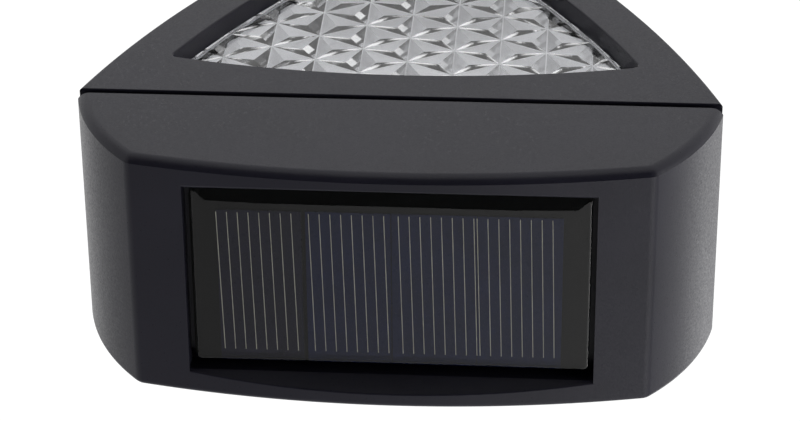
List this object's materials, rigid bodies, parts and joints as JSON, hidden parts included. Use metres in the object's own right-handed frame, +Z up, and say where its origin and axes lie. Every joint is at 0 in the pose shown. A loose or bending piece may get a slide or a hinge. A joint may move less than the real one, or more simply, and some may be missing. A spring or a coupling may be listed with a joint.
{
  "type": "solar fence light",
  "caption": "Shield-shaped wall light for a fence: black housing, faceted lens window in front, solar panel let into its curved top, keyholes behind.",
  "frame": {"origin": "on the flat back face, midway between the two keyholes' entry holes", "axes": "+Z up as it hangs on the fence, with the solar panel on top; +Y out of the back, towards the fence; the lens looks towards -Y; +X across the light"},
  "size_m": [0.0986, 0.04, 0.0957],
  "materials": {
    "black_housing": "fine spark-textured black ABS",
    "black_back": "fine-textured black ABS",
    "black_rubber": "matt",
    "clear_lens": "clear acrylic, faceted",
    "silver_reflector": "metallised ABS",
    "led_resin": "clear epoxy",
    "circuit_board": "solder mask",
    "chip_black": "moulded epoxy",
    "switch_metal": "plated",
    "ferrite": "sintered ferrite",
    "clear_resin": "glossy clear epoxy over a black board",
    "silicon": "dark blue silicon with printed silver fingers",
    "knob_black": "moulded",
    "battery_sleeve": "printed sleeve, plain",
    "contact_nickel": "nickel plated",
    "screw_steel": "zinc plated",
    "lead_red": "pvc",
    "lead_black": "pvc"
  },
  "bodies": {
    "light": {"back_plate": "black_back", "back_plate_screws": "screw_steel", "battery_cell": "battery_sleeve", "battery_lead_minus": "lead_black", "battery_lead_plus": "lead_red", "board_screws": "screw_steel", "capacitor": "chip_black", "contact_plate": "contact_nickel", "contact_spring": "contact_nickel", "control_board": "circuit_board", "driver_chip": "chip_black", "inductor": "ferrite", "leds": "led_resin", "lens": "clear_lens", "lens_housing": "black_housing", "lens_seal": "black_rubber", "panel_board": "circuit_board", "panel_lead_minus": "lead_black", "panel_lead_plus": "lead_red", "panel_pad": "black_rubber", "panel_resin": "clear_resin", "reflector": "silver_reflector", "seam_gasket": "black_rubber", "solar_cell_1": "silicon", "solar_cell_2": "silicon", "solar_cell_3": "silicon", "solar_cell_4": "silicon", "solar_head_housing": "black_housing", "spring_plate": "contact_nickel", "switch_body": "switch_metal", "switch_lead_1": "lead_red", "switch_lead_2": "lead_black"},
    "door": {"battery_door": "black_back", "battery_door_seal": "black_rubber", "battery_door_screws": "screw_steel"},
    "switch": {"switch_knob": "knob_black"}
  },
  "joints": [
    {"name": "switch_slide", "type": "slide", "parent": "light", "child": "switch", "axis": [1, 0, 0], "range_m": [0, 0.002]},
    {"name": "door_off", "type": "slide", "parent": "light", "child": "door", "axis": [0, 1, 0], "range_m": [0, 0.025]}
  ]
}
